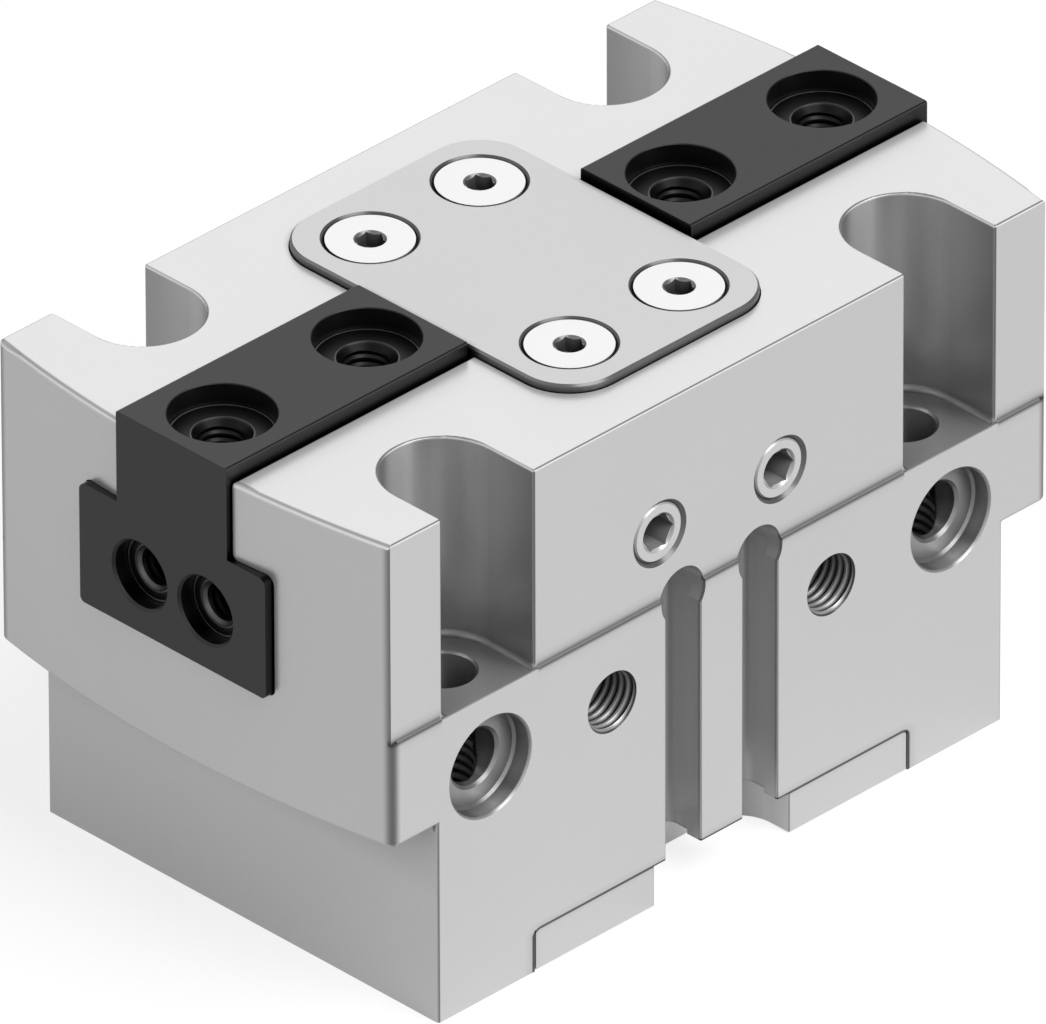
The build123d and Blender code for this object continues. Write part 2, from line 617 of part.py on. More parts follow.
def stop_pads():
    """Rubber rings that cushion the piston at both ends of its stroke: lower, then upper."""
    outer = -STOP_PAD_INSET
    inner = outer - STOP_PAD_WIDTH
    lower = stadium_ring(outer, inner, SPIGOT_TOP_Z, STOP_PAD_THICKNESS)
    upper = stadium_ring(outer, inner, CYLINDER_TOP_Z - STOP_PAD_THICKNESS, STOP_PAD_THICKNESS)
    return lower, upper


def sleeve(outer, inner, bottom, height):
    return Pos(0, 0, bottom) * extrude(Circle(outer) - Circle(inner), height)


def rod_seal():
    """Lip seal of the rod with a groove in its lower face."""
    inner = ROD_RADIUS + THREAD_CLEARANCE
    outer = SEAL_POCKET_RADIUS - THREAD_CLEARANCE
    ring = sleeve(outer, inner, ROD_SEAL_Z, ROD_SEAL_HEIGHT)
    middle = (outer + inner) / 2
    half_gap = SEAL_LIP_GAP / 2
    gap_height = CUT_PAST + ROD_SEAL_HEIGHT / 2
    lip_gap = sleeve(middle + half_gap, middle - half_gap, ROD_SEAL_Z - CUT_PAST, gap_height)
    return ring - lip_gap


def rod_bush():
    outer = SEAL_POCKET_RADIUS - THREAD_CLEARANCE
    return sleeve(outer, ROD_RADIUS + THREAD_CLEARANCE, ROD_SEAL_Z + ROD_SEAL_HEIGHT, ROD_BUSH_HEIGHT)


def rod_retaining_ring():
    """Internal retaining ring that holds the seal pack, open for its fitting pliers."""
    bottom = ROD_SEAL_Z + ROD_SEAL_HEIGHT + ROD_BUSH_HEIGHT
    outer = RETAINER_RADIUS - THREAD_CLEARANCE
    ring = Circle(outer) - Circle(RETAINER_INNER_RADIUS)
    ring -= Pos(outer, 0) * Rectangle(2 * outer, RETAINER_GAP)
    lug = RETAINER_GAP / 2 + RETAINER_EYE_OFFSET
    radius = (SEAL_POCKET_RADIUS + RETAINER_INNER_RADIUS) / 2
    for side in (-1, 1):
        ring -= Pos(sqrt(radius ** 2 - lug ** 2), side * lug) * Circle(RETAINER_EYE_RADIUS)
    return Pos(0, 0, bottom) * extrude(ring, RETAINER_THICKNESS)


def side_plugs():
    """Set screws that close the lubrication holes."""
    radius = PLUG_THREAD_RADIUS - THREAD_CLEARANCE
    profile = [
        (0, 0), (radius - PLUG_EDGE, 0), (radius, PLUG_EDGE), (radius, PLUG_LENGTH - POINT_CHAMFER),
        (radius - POINT_CHAMFER, PLUG_LENGTH), (0, PLUG_LENGTH),
    ]
    plugs = []
    for side in (-1, 1):
        origin = (side * PLUG_X, -UPPER_WIDTH / 2 + PLUG_RECESS, PLUG_Z)
        socket = hex_socket(PLUG_HEX, PLUG_LENGTH / 2, origin, (0, 1, 0))
        plugs.append(turned(profile, origin, (0, 1, 0)) - socket)
    return plugs


def magnet_places():
    y = -BORE_HALF_Y + PISTON_CLEARANCE + MAGNET_WALL + MAGNET_RADIUS
    return [(side * SENSOR_X, y) for side in (-1, 1)]


def piston():
    """Oval piston in one piece with its rod."""
    body = Pos(0, 0, PISTON_BOTTOM_Z) * extrude(stadium(-PISTON_CLEARANCE), PISTON_THICKNESS)
    body += Pos(0, 0, PISTON_TOP_Z) * extrude(Circle(ROD_RADIUS), WEDGE_BOTTOM_Z - PISTON_TOP_Z)
    body -= stadium_ring(1, -PISTON_CLEARANCE - PISTON_SEAL_DEPTH, PISTON_SEAL_Z, PISTON_SEAL_HEIGHT)
    body -= stadium_ring(1, -PISTON_CLEARANCE - BAND_DEPTH, BAND_Z, BAND_HEIGHT)
    for x, y in magnet_places():
        seat = extrude(Circle(MAGNET_RADIUS + THREAD_CLEARANCE), MAGNET_HEIGHT)
        body -= Pos(x, y, PISTON_BOTTOM_Z) * seat
    thread_depth = M6_SCREW_LENGTH - (WEDGE_HEIGHT - M6_SEAT_DEPTH) + M6_THREAD_SPARE
    body -= blind_hole(M6_THREAD_RADIUS, thread_depth, M6_HOLE_RADIUS, (0, 0, WEDGE_BOTTOM_Z), (0, 0, -1))
    return body - dowel(DOWEL_RADIUS + THREAD_CLEARANCE / 2, DOWEL_LENGTH + 2 * THREAD_CLEARANCE)


def piston_seal():
    inner = -PISTON_CLEARANCE - PISTON_SEAL_DEPTH + THREAD_CLEARANCE
    height = PISTON_SEAL_HEIGHT - 2 * THREAD_CLEARANCE
    return stadium_ring(-SEAL_CLEARANCE, inner, PISTON_SEAL_Z + THREAD_CLEARANCE, height)


def piston_guide_band():
    inner = -PISTON_CLEARANCE - BAND_DEPTH + THREAD_CLEARANCE
    height = BAND_HEIGHT - 2 * THREAD_CLEARANCE
    return stadium_ring(-SEAL_CLEARANCE, inner, BAND_Z + THREAD_CLEARANCE, height)


def magnets():
    magnet = extrude(Circle(MAGNET_RADIUS), MAGNET_HEIGHT)
    return [Pos(x, y, PISTON_BOTTOM_Z) * magnet for x, y in magnet_places()]


def incline(z, offset):
    """How far a line parallel to the wedge's flank lies from the middle at height z, at rest."""
    return WEDGE_BASE_HALF - (z - WEDGE_BOTTOM_Z) * JAW_PER_LIFT + offset


def flank_slab(inner, outer, bottom, top, half_width):
    """Slab parallel to the right flank, between two horizontal offsets from it."""
    corners = [
        (incline(bottom, inner), 0, bottom), (incline(bottom, outer), 0, bottom),
        (incline(top, outer), 0, top), (incline(top, inner), 0, top),
    ]
    return extrude(make_face(Polyline(*corners, close=True)), half_width, both=True)


def wedge_head():
    """Wedge with a T-shaped hook rail along each flank."""
    right = flank_slab(-2 * WEDGE_BASE_HALF, 0, WEDGE_BOTTOM_Z, WEDGE_TOP_Z, WEDGE_HALF_Y)
    half_space = Pos(WEDGE_BASE_HALF, 0, WEDGE_BOTTOM_Z) * Box(
        2 * WEDGE_BASE_HALF, 2 * WEDGE_HALF_Y, 2 * WEDGE_HEIGHT)
    right = right & half_space
    right += flank_slab(-1, RAIL_STEM_DEPTH, WEDGE_BOTTOM_Z, WEDGE_TOP_Z, RAIL_STEM_HALF)
    right += flank_slab(RAIL_STEM_DEPTH, RAIL_DEPTH, WEDGE_BOTTOM_Z, WEDGE_TOP_Z, RAIL_HEAD_HALF)
    head = right + mirror(right, Plane.YZ)
    through = WEDGE_HEIGHT + CUT_PAST
    seat = [
        (0, -CUT_PAST), (M6_SEAT_RADIUS, -CUT_PAST), (M6_SEAT_RADIUS, M6_SEAT_DEPTH),
        (M6_HOLE_RADIUS, M6_SEAT_DEPTH), (M6_HOLE_RADIUS, through), (0, through),
    ]
    head -= turned(seat, (0, 0, WEDGE_TOP_Z), (0, 0, -1))
    return head - dowel(DOWEL_RADIUS + THREAD_CLEARANCE / 2, DOWEL_LENGTH + 2 * THREAD_CLEARANCE)


def wedge_screw():
    """Socket screw that clamps the wedge onto the rod."""
    shank = M6_THREAD_RADIUS - THREAD_CLEARANCE
    seat_z = WEDGE_TOP_Z - M6_SEAT_DEPTH
    end = M6_HEAD_HEIGHT + M6_SCREW_LENGTH
    profile = [
        (0, 0), (M6_HEAD_RADIUS - M6_HEAD_EDGE, 0), (M6_HEAD_RADIUS, M6_HEAD_EDGE),
        (M6_HEAD_RADIUS, M6_HEAD_HEIGHT), (shank, M6_HEAD_HEIGHT),
        (shank, end - POINT_CHAMFER), (shank - POINT_CHAMFER, end), (0, end),
    ]
    origin = (0, 0, seat_z + M6_HEAD_HEIGHT)
    return turned(profile, origin, (0, 0, -1)) - hex_socket(M6_HEX, M6_HEX_DEPTH, origin, (0, 0, -1))


def dowel(radius, length):
    """Pin or its hole, half in the rod and half in the wedge."""
    return Pos(0, DOWEL_Y, WEDGE_BOTTOM_Z - length / 2) * extrude(Circle(radius), length)


def jaw_right():
    """Right jaw: a T section with the hook groove for the wedge cut up its inner face."""
    flange_bottom = GUIDE_FLOOR_Z + JAW_FLANGE_GAP
    flange_top = GUIDE_LIP_Z - JAW_FLANGE_GAP
    section = tee(JAW_NECK_HALF, JAW_FLANGE_HALF, flange_bottom, flange_top, JAW_TOP_Z)
    section = round_corners(section, JAW_FLANGE_RADIUS, both_sides(JAW_FLANGE_HALF, flange_top))
    section = round_corners(section, JAW_FOOT_RADIUS, both_sides(JAW_FLANGE_HALF, flange_bottom))
    section = round_corners(section, JAW_EDGE, both_sides(JAW_NECK_HALF, JAW_TOP_Z))
    bar = extrude(Plane.YZ * section, JAW_END_X)

    step_z = COVER_FLOOR_Z - JAW_COVER_GAP
    bar -= Pos(0, 0, step_z + HEIGHT / 2) * Box(2 * JAW_STEP_X, HEIGHT, HEIGHT)
    wide = 2 * GUIDE_FLANGE_HALF
    below = flange_bottom - CUT_PAST
    above = step_z + CUT_PAST
    bar -= flank_slab(-2 * JAW_END_X, WEDGE_CLEARANCE, below, above, wide)
    stem_half = RAIL_STEM_HALF + RAIL_CLEARANCE
    bar -= flank_slab(-1, RAIL_DEPTH, below, above, stem_half)
    near = RAIL_STEM_DEPTH - WEDGE_CLEARANCE
    bar -= flank_slab(near, RAIL_DEPTH + RAIL_CLEARANCE, below, above, RAIL_HEAD_HALF + RAIL_CLEARANCE)

    for x in JAW_HOLE_X:
        bar -= sleeve_hole(SLEEVE_RADIUS, JAW_SLEEVE_MOUTH, JAW_SLEEVE_DEPTH, JAW_THREAD_CHAMFER_RADIUS,
                           M6_THREAD_RADIUS, JAW_THREAD_DEPTH, (x, 0, JAW_TOP_Z), (0, 0, -1))
    for side in (-1, 1):
        bar -= sleeve_hole(END_SLEEVE_RADIUS, END_SLEEVE_MOUTH, END_SLEEVE_DEPTH, END_THREAD_CHAMFER_RADIUS,
                           M5_THREAD_RADIUS, END_THREAD_DEPTH, (JAW_END_X, side * END_HOLE_Y, END_HOLE_Z),
                           (-1, 0, 0))
    return bar


def group(solids):
    """Several equal pieces that share one node."""
    return Compound([solid for item in solids for solid in item.solids()])


def parts():
    lower_pad, upper_pad = stop_pads()
    right = jaw_right()
    return {
        "housing": housing(),
        "cover_plate": cover_plate(),
        "cover_screws": group(cover_screws()),
        "bottom_cap": bottom_cap(),
        "cap_screws": group(cap_screws()),
        "cap_seal": cap_seal(),
        "lower_stop_pad": lower_pad,
        "upper_stop_pad": upper_pad,
        "rod_seal": rod_seal(),
        "rod_bush": rod_bush(),
        "rod_retaining_ring": rod_retaining_ring(),
        "side_plugs": group(side_plugs()),
        "piston": piston(),
        "piston_seal": piston_seal(),
        "piston_guide_band": piston_guide_band(),
        "magnets": group(magnets()),
        "wedge_head": wedge_head(),
        "wedge_screw": wedge_screw(),
        "wedge_dowel": dowel(DOWEL_RADIUS, DOWEL_LENGTH),
        "jaw_right": right,
        "jaw_left": mirror(right, Plane.YZ),
    }


os.makedirs("parts", exist_ok=True)
for name, shape in parts().items():
    export_step(shape, "parts/" + name + ".step")
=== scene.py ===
"""Looks for the parallel gripper: satin anodised housing, blackened jaws, threads in the open holes.

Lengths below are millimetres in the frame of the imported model; MM turns them into metres.
"""
import json
import math
import bmesh
import bpy
from mathutils import Matrix, Vector


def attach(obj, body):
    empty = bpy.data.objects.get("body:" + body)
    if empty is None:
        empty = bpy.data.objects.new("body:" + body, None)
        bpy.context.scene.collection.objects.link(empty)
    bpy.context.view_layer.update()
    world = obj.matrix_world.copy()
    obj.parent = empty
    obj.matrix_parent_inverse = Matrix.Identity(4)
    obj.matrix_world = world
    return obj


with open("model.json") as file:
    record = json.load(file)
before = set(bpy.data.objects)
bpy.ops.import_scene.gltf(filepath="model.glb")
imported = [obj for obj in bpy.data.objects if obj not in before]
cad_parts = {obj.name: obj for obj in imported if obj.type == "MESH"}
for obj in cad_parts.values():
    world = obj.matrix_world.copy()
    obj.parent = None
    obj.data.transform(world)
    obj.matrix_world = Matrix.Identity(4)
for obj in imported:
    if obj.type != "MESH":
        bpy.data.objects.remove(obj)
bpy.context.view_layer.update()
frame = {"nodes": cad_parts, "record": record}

MM = 0.001

# Camera, found from the photograph's straight edges, with angles in degrees
CAMERA_AZIMUTH = -44.77
CAMERA_ELEVATION = 32.058
CAMERA_ROLL = -0.169
CAMERA_DISTANCE = 3648.8
CAMERA_TARGET = (0.0, 0.0, 33.4)
CAMERA_ASIDE = 0.234
CAMERA_BELOW = 0.783
CAMERA_NEAR = 100.0
CAMERA_FAR = 100000.0
FOCAL_PIXELS = 33671.0
IMAGE_WIDTH = 1046
SENSOR_WIDTH = 36.0

# Light
SKY_LEVEL = 0.25
KEY_DIRECTION = (0.06, -0.52, 0.70)
KEY_SOFTNESS = 40.0
FLOOR_COLOUR = 0.24
FLOOR_GLOW = 0.79
FLOOR_SHEEN = 0.42
FLOOR_RADIUS = 4000.0
FLOOR_SEGMENTS = 96
FLOOR_DROP = 0.01

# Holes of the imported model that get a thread
HALF_WIDTH = 30.1
MOUNT_X = 35.2
MOUNT_Y = 22.9
MOUNT_RADIUS = 3.594
MOUNT_CREST = 3.36
MOUNT_PITCH = 1.25
MOUNT_TOP = 33.2
MOUNT_BOTTOM = 0.55
MOUNT_SEAT = 2.55
SIDE_HOLE_Z = 29.2
SIDE_HOLE_RADIUS = 3.4
SIDE_HOLE_END = 14.1
PORT_X = 16.75
PORT_Z = 29.07
PORT_RADIUS = 3.675
PORT_CREST = 3.38
PORT_PITCH = 1.03
PORT_START = 0.1
PORT_DEPTH = 8.9
JAW_TOP_Z = 65.25
JAW_HOLE_X = (23.86, 45.62)
JAW_THREAD_TOP = 3.3
JAW_THREAD_DEPTH = 12.0
JAW_THREAD_RADIUS = 2.675
JAW_THREAD_CREST = 2.46
JAW_THREAD_PITCH = 1.0
JAW_END_X = 53.34
END_HOLE_Y = 5.03
END_HOLE_Z = 45.85
END_THREAD_TOP = 2.56
END_THREAD_DEPTH = 12.1
END_THREAD_RADIUS = 2.24
END_THREAD_CREST = 2.07
END_THREAD_PITCH = 1.0

# Form of a thread: along one pitch, the share of it and the share of the ridge's height
THREAD_PROFILE = ((0.0, 0.0), (0.125, 0.0), (0.4375, 1.0), (0.6875, 1.0))
THREAD_COLUMNS = 72
THREAD_LEAD = 0.35
LINER_WALL = 0.12
WELD = 1e-7
TINY_EDGE = 1e-8

# Look of a thread
# How far the openness looks for the walls that paint shade on a thread
THREAD_REACH = 6.0
THREAD_NOISE = 3000.0
THREAD_TONE = 0.95
THREAD_GRAIN = 0.1
THREAD_METALLIC = 0.3
THREAD_SPECULAR = 0.3
THREAD_ROUGHNESS = 0.3

# Grain of all metals
BROAD_NOISE = 60.0
BROAD_DETAIL = 3.0
FINE_NOISE = 2600.0
FINE_DETAIL = 2.0
GRAIN = 0.02
ROUGHNESS_WANDER = 0.12
BUMP_STRENGTH = 0.05
BUMP_HEIGHT = 0.03
# Samples of the openness that paints shade into recesses
OPENNESS_SAMPLES = 8

# How sharply a face counts as square to an axis
SQUARE_POWER = 6.0
# How much stronger the painted rim lines of shade and highlight are where a face looks along Y
RIM_POWER = 0.8
RIM_POWER_ALONG_Y = 1.2

# Places on the housing that get their own painted shade; a pair is where a soft step starts and is complete
ZONE_BLUR = 0.1
POCKET_HALF = 7.1
POCKET_BACK = (15.0, 15.5)
POCKET_MOUTH = 29.9
POCKET_BRIGHT_END = 19.0
POCKET_BASE = (38.15, 38.25)
POCKET_RIM = 63.1
SLOT_X = 5.88
SLOT_HALF = 3.5
SLOT_MOUTH = (29.75, 29.6)
SLOT_BASE = (5.3, 5.6)
SLOT_TOP = (41.4, 41.1)
SEAM_Z = 38.3
SEAM_DROP = 0.12
SEAM_SPAN = 2.0
SEAM_FACE = (29.3, 29.6)
SEAM_GAP = 0.3
SEAM_LINE_Z = 38.4
SEAM_LINE = (0.6, 0.5)
CORNER_X = 48.7
CORNER_Y = 28.7
CORNER_BLUR = 0.02
CORNER_TURNED = (0.995, 0.95)
CORNER_UPRIGHT = (0.4, 0.15)
CORNER_BELOW = (38.35, 38.25)
CAP_HALF = 28.41
CAP_TOP = 5.25
CAP_CORNER = 0.8
CAP_SIDE_SCALE = 0.7
CAP_FACE = (29.6, 29.8)
PLUG_X = 9.19
PLUG_Z = 47.0
PLUG_HALF = 5.2
PORT_HALF = 4.6
SIDE_SEAT_HALF = 6.5
SIDE_SEAT_MOUTH = (30.0, 29.9)
HOLE_FACE = (26.0, 27.0)

# Places in the jaws' holes that get their own painted shade and painted highlight, with pairs as above
RING_BLUR = 0.08
SEAT_RING = (0.3, 0.1)
LIP_WIDTH = 0.15
COUNTERSINK_EDGE = (0.05, 0.2)
JAW_SEAT_RADIUS = 6.0
JAW_THROAT_RADIUS = 3.37
JAW_SEAT_DEPTH = (2.2, 2.4)
JAW_HOLE_FLOOR = (58.0, 59.0)
END_SEAT_RADIUS = 4.0
END_THROAT_RADIUS = 2.7
END_SEAT_DEPTH = (1.7, 1.9)
END_HOLE_FLOOR = (48.0, 49.0)

# Factors of painted shade and painted highlight on the metal's own grey at these places, and how open the
# slots count as for their painted recess shade
POCKET_WALL = 0.95
POCKET_MOUTH_WALL = 0.58
POCKET_FLOOR = 0.5
SLOT_OPENNESS = 0.78
CHAMFER_SHADE = 0.3
SIDE_SEAT_SHADE = 0.7
SEAT_LINE = 7.0
SEAT_LIP = 2.5
JAW_COUNTERSINK = 0.45
END_COUNTERSINK = 3.0

# Curves of painted shade and painted highlight, as (input, share) points
UPRIGHT = ((-1.0, 1.0), (0.0, 1.0), (0.19, 1.0), (0.25, 0.93), (0.368, 0.84), (0.474, 0.74), (0.571, 0.64),
           (0.659, 0.52), (0.737, 0.42), (0.808, 0.34), (0.87, 0.28), (0.921, 0.35), (0.962, 0.66),
           (0.989, 0.94), (1.0, 1.0))
CORNER_SHADE = ((-1.0, 1.0), (0.0, 1.0), (0.12, 0.9), (0.228, 0.705), (0.332, 0.487), (0.433, 0.316),
                (0.531, 0.243), (0.631, 0.3), (0.734, 0.5), (0.843, 0.755), (0.92, 0.89), (1.0, 1.0))
SEAM_SHADE = ((-1.0, 1.0), (-0.5, 0.98), (-0.2, 0.92), (-0.13, 0.86), (-0.065, 0.68), (0.0, 0.42),
              (0.06, 0.29), (0.13, 0.29), (0.19, 0.375), (0.255, 0.52), (0.32, 0.665), (0.385, 0.76),
              (0.5, 0.86), (0.65, 0.93), (0.85, 0.98), (1.0, 1.0))
CAP_SHADE = ((-1.0, 1.0), (-0.5, 0.97), (-0.25, 0.9), (-0.12, 0.4), (0.0, 0.09), (0.12, 0.35), (0.25, 0.86),
             (0.6, 0.94), (1.0, 1.0))
EVEN_RIM = ((-1.0, 1.0), (1.0, 1.0))
PLAIN_RIM = ((-1.0, 1.0), (0.0, 1.0), (0.2, 1.05), (0.45, 1.05), (0.64, 0.75), (0.8, 0.45), (0.9, 0.45),
             (0.97, 0.8), (1.0, 1.0))


def mm(*values):
    return Vector(values) * MM


def add_object(name, data):
    item = bpy.data.objects.new(name, data)
    bpy.context.scene.collection.objects.link(item)
    return item


def camera():
    """Long lens at the photograph's place, turned by its small roll."""
    azimuth = math.radians(CAMERA_AZIMUTH)
    elevation = math.radians(CAMERA_ELEVATION)
    roll = math.radians(CAMERA_ROLL)
    level = math.cos(elevation)
    back = Vector((math.sin(azimuth) * level, -math.cos(azimuth) * level, math.sin(elevation)))
    right = Vector((math.cos(azimuth), math.sin(azimuth), 0))
    up = back.cross(right)
    image_right = right * math.cos(roll) + up * math.sin(roll)
    image_up = up * math.cos(roll) - right * math.sin(roll)
    place = mm(*CAMERA_TARGET) + back * CAMERA_DISTANCE * MM
    place -= image_right * CAMERA_ASIDE * MM + image_up * CAMERA_BELOW * MM
    turn = Matrix((image_right, image_up, back)).transposed()
    data = bpy.data.cameras.new("camera")
    data.sensor_fit = "HORIZONTAL"
    data.sensor_width = SENSOR_WIDTH
    data.lens = FOCAL_PIXELS * SENSOR_WIDTH / IMAGE_WIDTH
    data.clip_start = CAMERA_NEAR * MM
    data.clip_end = CAMERA_FAR * MM
    item = add_object("camera", data)
    item.matrix_world = Matrix.Translation(place) @ turn.to_4x4()
    bpy.context.scene.camera = item


def nodes_of(owner):
    owner.use_nodes = True
    tree = owner.node_tree
    tree.nodes.clear()
    return tree


def node(tree, kind, **settings):
    item = tree.nodes.new(kind)
    for name, value in settings.items():
        setattr(item, name, value)
    return item


def feed(tree, value, target):
    """Sets a socket to a number, or links it to another node's output."""
    if isinstance(value, (int, float)):
        target.default_value = value
    else:
        tree.links.new(value, target)


def calculate(tree, operation, *values, clamp=False):
    item = node(tree, "ShaderNodeMath", operation=operation, use_clamp=clamp)
    for place, value in enumerate(values):
        feed(tree, value, item.inputs[place])
    return item.outputs[0]


def product(tree, *values):
    total = values[0]
    for value in values[1:]:
        total = calculate(tree, "MULTIPLY", total, value)
    return total


def magnitude(tree, value):
    return calculate(tree, "ABSOLUTE", value)


def away(tree, value, middle):
    return magnitude(tree, calculate(tree, "SUBTRACT", value, middle))


def hypotenuse(tree, first, second):
    squares = calculate(tree, "ADD", product(tree, first, first), product(tree, second, second))
    return calculate(tree, "SQRT", squares)


def split(tree, vector):
    item = node(tree, "ShaderNodeSeparateXYZ")
    feed(tree, vector, item.inputs[0])
    return item.outputs[0], item.outputs[1], item.outputs[2]


def measure(tree, place):
    """The three coordinates of a place in millimetres."""
    return [calculate(tree, "DIVIDE", length, MM) for length in split(tree, place)]


def blend(tree, amount, first, second):
    """First where amount is 0, second where it is 1."""
    item = node(tree, "ShaderNodeMix", data_type="FLOAT")
    for place, value in ((0, amount), (2, first), (3, second)):
        feed(tree, value, item.inputs[place])
    return item.outputs[0]


def smooth(tree, value, start, stop):
    """Smooth step from 0 at start to 1 at stop."""
    item = node(tree, "ShaderNodeMapRange", interpolation_type="SMOOTHSTEP")
    item.inputs["From Min"].default_value = start
    item.inputs["From Max"].default_value = stop
    feed(tree, value, item.inputs["Value"])
    return item.outputs["Result"]


def below(tree, value, limit, blur=ZONE_BLUR):
    """1 below the limit, 0 above it."""
    return smooth(tree, value, limit + blur, limit - blur)


def above(tree, value, limit, blur=ZONE_BLUR):
    """1 above the limit, 0 below it."""
    return smooth(tree, value, limit - blur, limit + blur)


def curve(tree, value, points):
    """Smooth curve through (input, output) points; the input runs from -1 to 1, the output from 0 to 2."""
    shifted = calculate(tree, "MULTIPLY", calculate(tree, "ADD", value, 1.0), 0.5, clamp=True)
    ramp = node(tree, "ShaderNodeFloatCurve")
    line = ramp.mapping.curves[0]
    for number, (x, y) in enumerate(points):
        place = ((x + 1) / 2, y / 2)
        if number < 2:
            line.points[number].location = place
        else:
            line.points.new(*place)
    ramp.mapping.update()
    feed(tree, shifted, ramp.inputs["Value"])
    return calculate(tree, "MULTIPLY", ramp.outputs["Value"], 2.0)


def openness(tree, reach, own):
    """How open to its surroundings a spot is, 0 to 1, looking as far as reach."""
    item = node(tree, "ShaderNodeAmbientOcclusion", samples=OPENNESS_SAMPLES, only_local=own)
    item.inputs["Distance"].default_value = reach * MM
    return item.outputs["AO"]


def grain_of(tree, place, scale, detail=None):
    """Noise on the object; its own default detail where none is given."""
    item = node(tree, "ShaderNodeTexNoise")
    item.inputs["Scale"].default_value = scale
    if detail is not None:
        item.inputs["Detail"].default_value = detail
    feed(tree, place, item.inputs["Vector"])
    return item.outputs["Fac"]


def varied(tree, noise, amount):
    """Swings by half the amount to either side of 0."""
    return calculate(tree, "MULTIPLY", calculate(tree, "SUBTRACT", noise, 0.5), amount)


def shader_of(tree, level, metallic, specular, roughness):
    """Principled shader of one grey, linked to the material's output."""
    colour = node(tree, "ShaderNodeCombineColor")
    for channel in range(3):
        feed(tree, level, colour.inputs[channel])
    shader = node(tree, "ShaderNodeBsdfPrincipled")
    feed(tree, colour.outputs[0], shader.inputs["Base Color"])
    shader.inputs["Metallic"].default_value = metallic
    shader.inputs["Specular IOR Level"].default_value = specular
    feed(tree, roughness, shader.inputs["Roughness"])
    feed(tree, shader.outputs[0], node(tree, "ShaderNodeOutputMaterial").inputs[0])
    return shader


def sky():
    """Even grey light from all sides that the camera and reflections see as white."""
    world = bpy.data.worlds.new("studio")
    bpy.context.scene.world = world
    tree = nodes_of(world)
    path = node(tree, "ShaderNodeLightPath")
    seen = calculate(tree, "MAXIMUM", path.outputs["Is Camera Ray"], path.outputs["Is Glossy Ray"])
    seen = calculate(tree, "MAXIMUM", seen, path.outputs["Is Transmission Ray"])
    mix = node(tree, "ShaderNodeMixShader")
    feed(tree, seen, mix.inputs[0])
    for place, strength in ((1, SKY_LEVEL), (2, 1.0)):
        part = node(tree, "ShaderNodeBackground")
        part.inputs["Color"].default_value = (1, 1, 1, 1)
        part.inputs["Strength"].default_value = strength
        feed(tree, part.outputs[0], mix.inputs[place])
    feed(tree, mix.outputs[0], node(tree, "ShaderNodeOutputWorld").inputs[0])


def key_light():
    direction = Vector(KEY_DIRECTION)
    data = bpy.data.lights.new("key", "SUN")
    data.energy = direction.length * math.pi
    data.angle = math.radians(KEY_SOFTNESS)
    item = add_object("key", data)
    item.rotation_euler = direction.to_track_quat("Z", "Y").to_euler()


def floor_material():
    """Matt floor that keeps the shadow and that the camera sees as nearly white."""
    material = bpy.data.materials.new("floor")
    tree = nodes_of(material)
    path = node(tree, "ShaderNodeLightPath")
    seen = calculate(tree, "MAXIMUM", path.outputs["Is Camera Ray"], path.outputs["Is Transmission Ray"])
    bright = product(tree, seen, FLOOR_GLOW)
    sheen = product(tree, path.outputs["Is Glossy Ray"], FLOOR_SHEEN)
    matt = node(tree, "ShaderNodeBsdfDiffuse")
    matt.inputs["Color"].default_value = (FLOOR_COLOUR, FLOOR_COLOUR, FLOOR_COLOUR, 1)
    glow = node(tree, "ShaderNodeEmission")
    feed(tree, calculate(tree, "MAXIMUM", bright, sheen), glow.inputs["Strength"])
    total = node(tree, "ShaderNodeAddShader")
    feed(tree, matt.outputs[0], total.inputs[0])
    feed(tree, glow.outputs[0], total.inputs[1])
    feed(tree, total.outputs[0], node(tree, "ShaderNodeOutputMaterial").inputs[0])
    return material


def ground():
    mesh = bpy.data.meshes.new("floor")
    shape = bmesh.new()
    bmesh.ops.create_circle(shape, cap_ends=True, segments=FLOOR_SEGMENTS, radius=FLOOR_RADIUS * MM)
    shape.to_mesh(mesh)
    shape.free()
    floor = add_object("floor", mesh)
    floor.location = mm(0, 0, -FLOOR_DROP)
    mesh.materials.append(floor_material())


def painted_edge_lines(tree, normal, corner, rim, recess, plain):
    """Painted shade and painted highlight lines where the surface turns, round the upright corners and over
    the rims.

    Plain is 1 where the lines are drawn and 0 where the place has a painted shade of its own instead.
    """
    x, y, z = split(tree, normal)
    wide_y = magnitude(tree, y)
    flat = calculate(tree, "MAXIMUM", hypotenuse(tree, x, y), 0.001)
    turned = calculate(tree, "DIVIDE", wide_y, flat)
    strength = product(tree, recess, recess, flat, corner)
    side = blend(tree, strength, 1.0, curve(tree, turned, UPRIGHT))
    stronger = calculate(tree, "ADD", product(tree, turned, RIM_POWER_ALONG_Y), RIM_POWER)
    over = calculate(tree, "POWER", curve(tree, z, rim), stronger)
    return blend(tree, plain, 1.0, product(tree, side, over))


def near(tree, x, z, middle_x, middle_z, radius):
    """1 inside a round zone of the side faces, 0 outside."""
    aside = calculate(tree, "SUBTRACT", x, middle_x)
    over = calculate(tree, "SUBTRACT", z, middle_z)
    return below(tree, hypotenuse(tree, aside, over), radius)


def pocket_shade(tree, aside, y, z, facing_z):
    """Painted shade on the walls and floors of the four corner pockets, deeper on the walls near the mouth.
    """
    zone = product(tree, below(tree, aside, POCKET_HALF), smooth(tree, y, *POCKET_BACK),
                   below(tree, y, POCKET_MOUTH), smooth(tree, z, *POCKET_BASE), below(tree, z, POCKET_RIM))
    outward = smooth(tree, y, POCKET_BRIGHT_END, POCKET_MOUTH)
    painted_wall_shade = blend(tree, outward, POCKET_WALL, POCKET_MOUTH_WALL)
    level = product(tree, facing_z, facing_z)
    return blend(tree, zone, 1.0, blend(tree, level, painted_wall_shade, POCKET_FLOOR))


